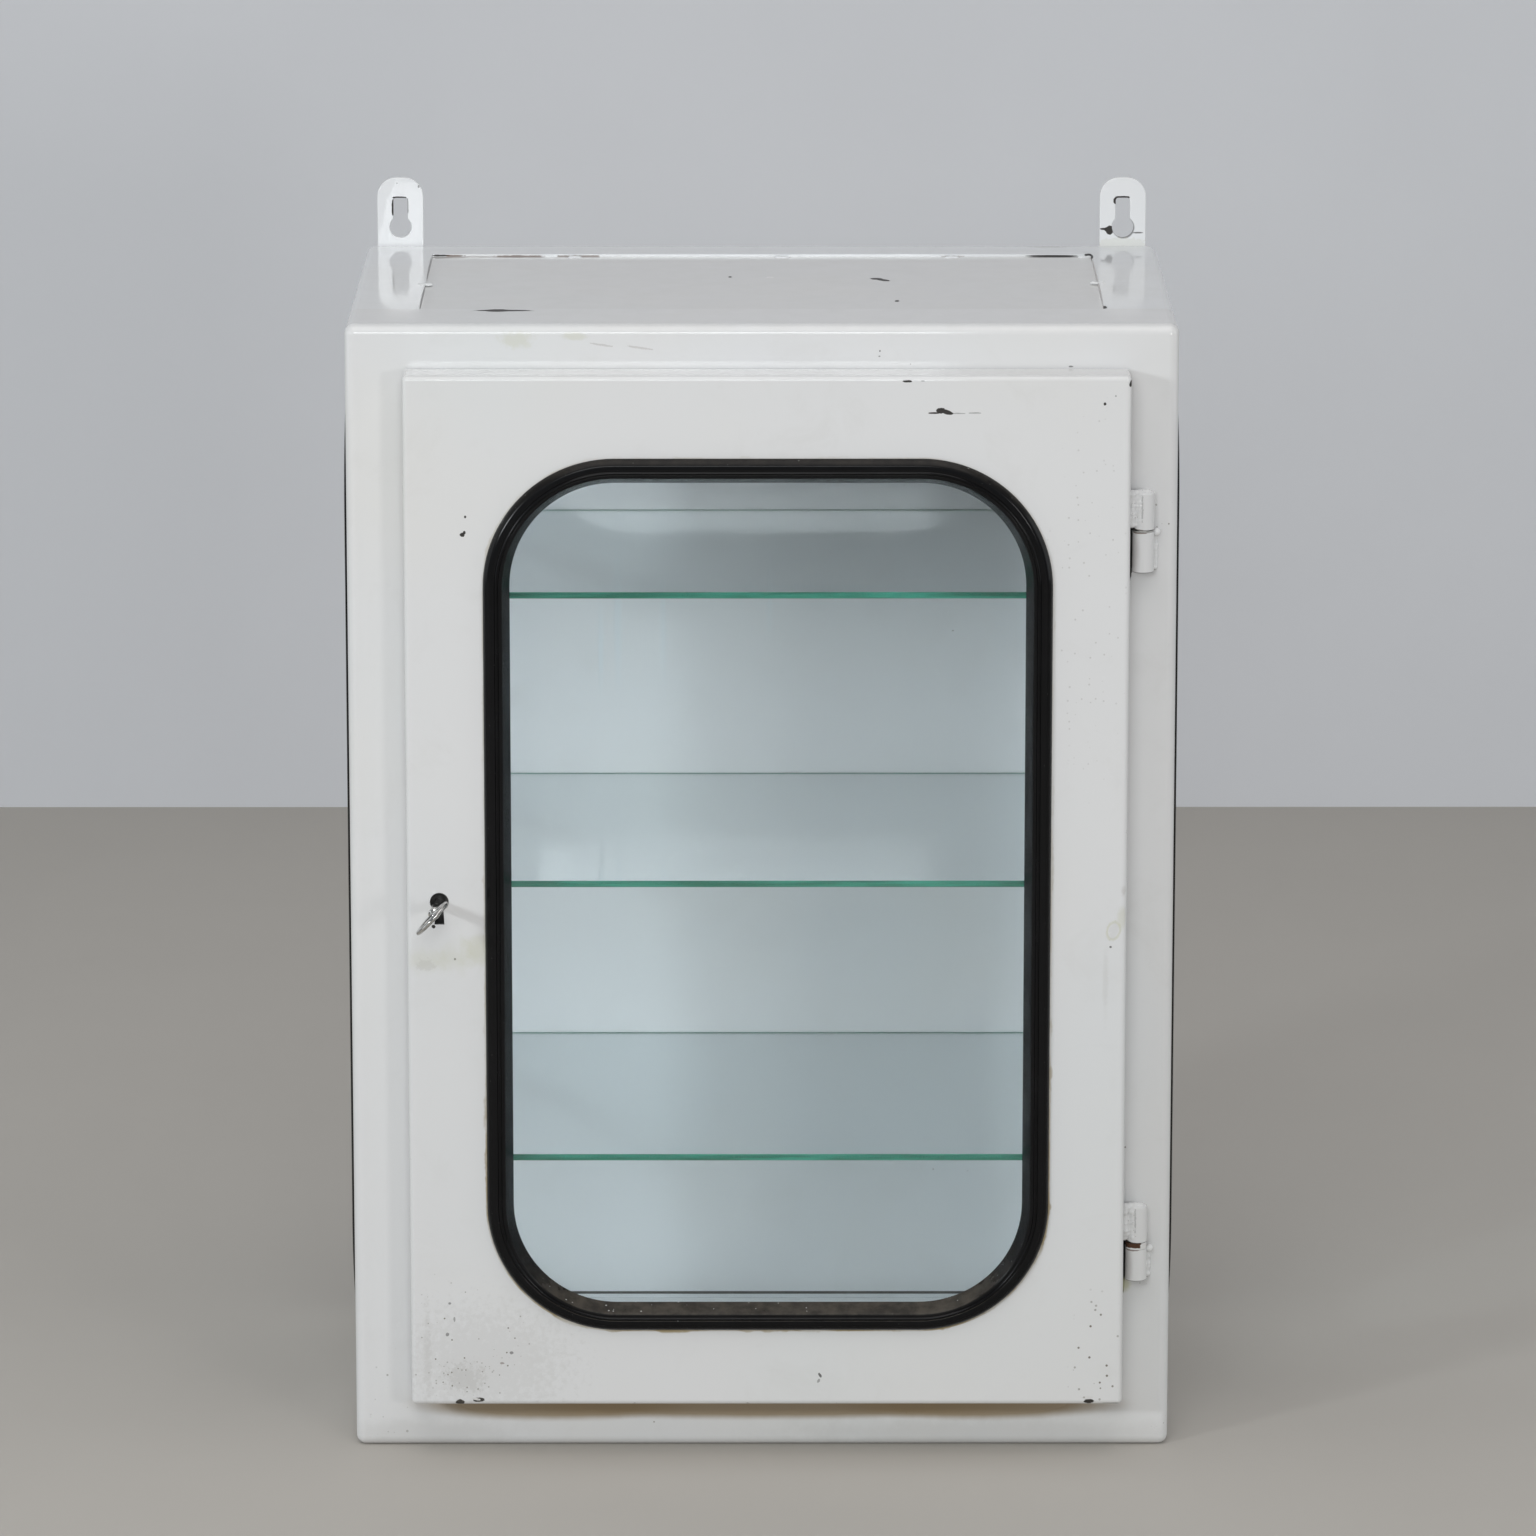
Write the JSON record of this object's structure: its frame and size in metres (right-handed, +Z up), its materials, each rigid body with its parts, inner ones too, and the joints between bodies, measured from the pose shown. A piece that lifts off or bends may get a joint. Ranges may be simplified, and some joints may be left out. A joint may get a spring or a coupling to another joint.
{
  "type": "medicine cabinet",
  "caption": "Wall-hung sheet-steel medicine cabinet with a glazed, key-locked door on lift-off hinges, rounded side windows in black rubber and glass shelves.",
  "frame": {"origin": "middle of the flat bottom face of the cabinet body, halfway across its width and between its front and back faces", "axes": "+X to the right seen from the front, +Y from the front into the cabinet, +Z up"},
  "size_m": [0.509, 0.3835, 0.743],
  "materials": {
    "white_enamel": "glossy white baked enamel with small chips and stains",
    "black_rubber": "smooth black rubber, dusty on its lower inner slope",
    "clear_glass": "clear float glass with green edges",
    "chrome": "worn bright plating",
    "bare_steel": "dull bare steel",
    "rusty_steel": "brown rust over steel"
  },
  "bodies": {
    "cabinet": {"front_frame": "white_enamel", "back_panel": "white_enamel", "left_side_panel": "white_enamel", "right_side_panel": "white_enamel", "top_panel": "white_enamel", "bottom_panel": "white_enamel", "left_hanging_bracket": "white_enamel", "right_hanging_bracket": "white_enamel", "left_side_seal": "black_rubber", "left_side_glass": "clear_glass", "right_side_seal": "black_rubber", "right_side_glass": "clear_glass", "bottom_shelf": "clear_glass", "middle_shelf": "clear_glass", "top_shelf": "clear_glass", "bottom_left_shelf_rail": "white_enamel", "bottom_right_shelf_rail": "white_enamel", "middle_left_shelf_rail": "white_enamel", "middle_right_shelf_rail": "white_enamel", "top_left_shelf_rail": "white_enamel", "top_right_shelf_rail": "white_enamel", "upper_body_knuckle": "white_enamel", "upper_hinge_washer": "bare_steel", "lower_body_knuckle": "white_enamel", "lower_hinge_washer": "rusty_steel", "lock_keeper": "white_enamel"},
    "door": {"door_pan": "white_enamel", "door_seal": "black_rubber", "door_seal_filler": "black_rubber", "door_glass": "clear_glass", "upper_door_knuckle": "white_enamel", "lower_door_knuckle": "white_enamel", "lock_case": "bare_steel", "lock_cover": "bare_steel", "lock_spring": "bare_steel"},
    "bolt": {"lock_bolt": "bare_steel"},
    "key": {"key": "chrome"}
  },
  "joints": [
    {"name": "door_swing", "type": "hinge", "parent": "cabinet", "child": "door", "pos_m": [0.2291, -0.1569, 0.35], "axis": [0, 0, 1], "range_deg": [0, 120]},
    {"name": "key_turn", "type": "hinge", "parent": "door", "child": "key", "pos_m": [-0.1949, -0.1755, 0.35], "axis": [0, 1, 0], "range_deg": [-317, 43]},
    {"name": "bolt_slide", "type": "slide", "parent": "door", "child": "bolt", "axis": [-1, 0, 0], "range_m": [-0.0006, 0.00425]}
  ],
  "couplings": [
    {"joint": "bolt_slide", "follows": "key_turn", "m_per_rad": -0.00076394}
  ]
}
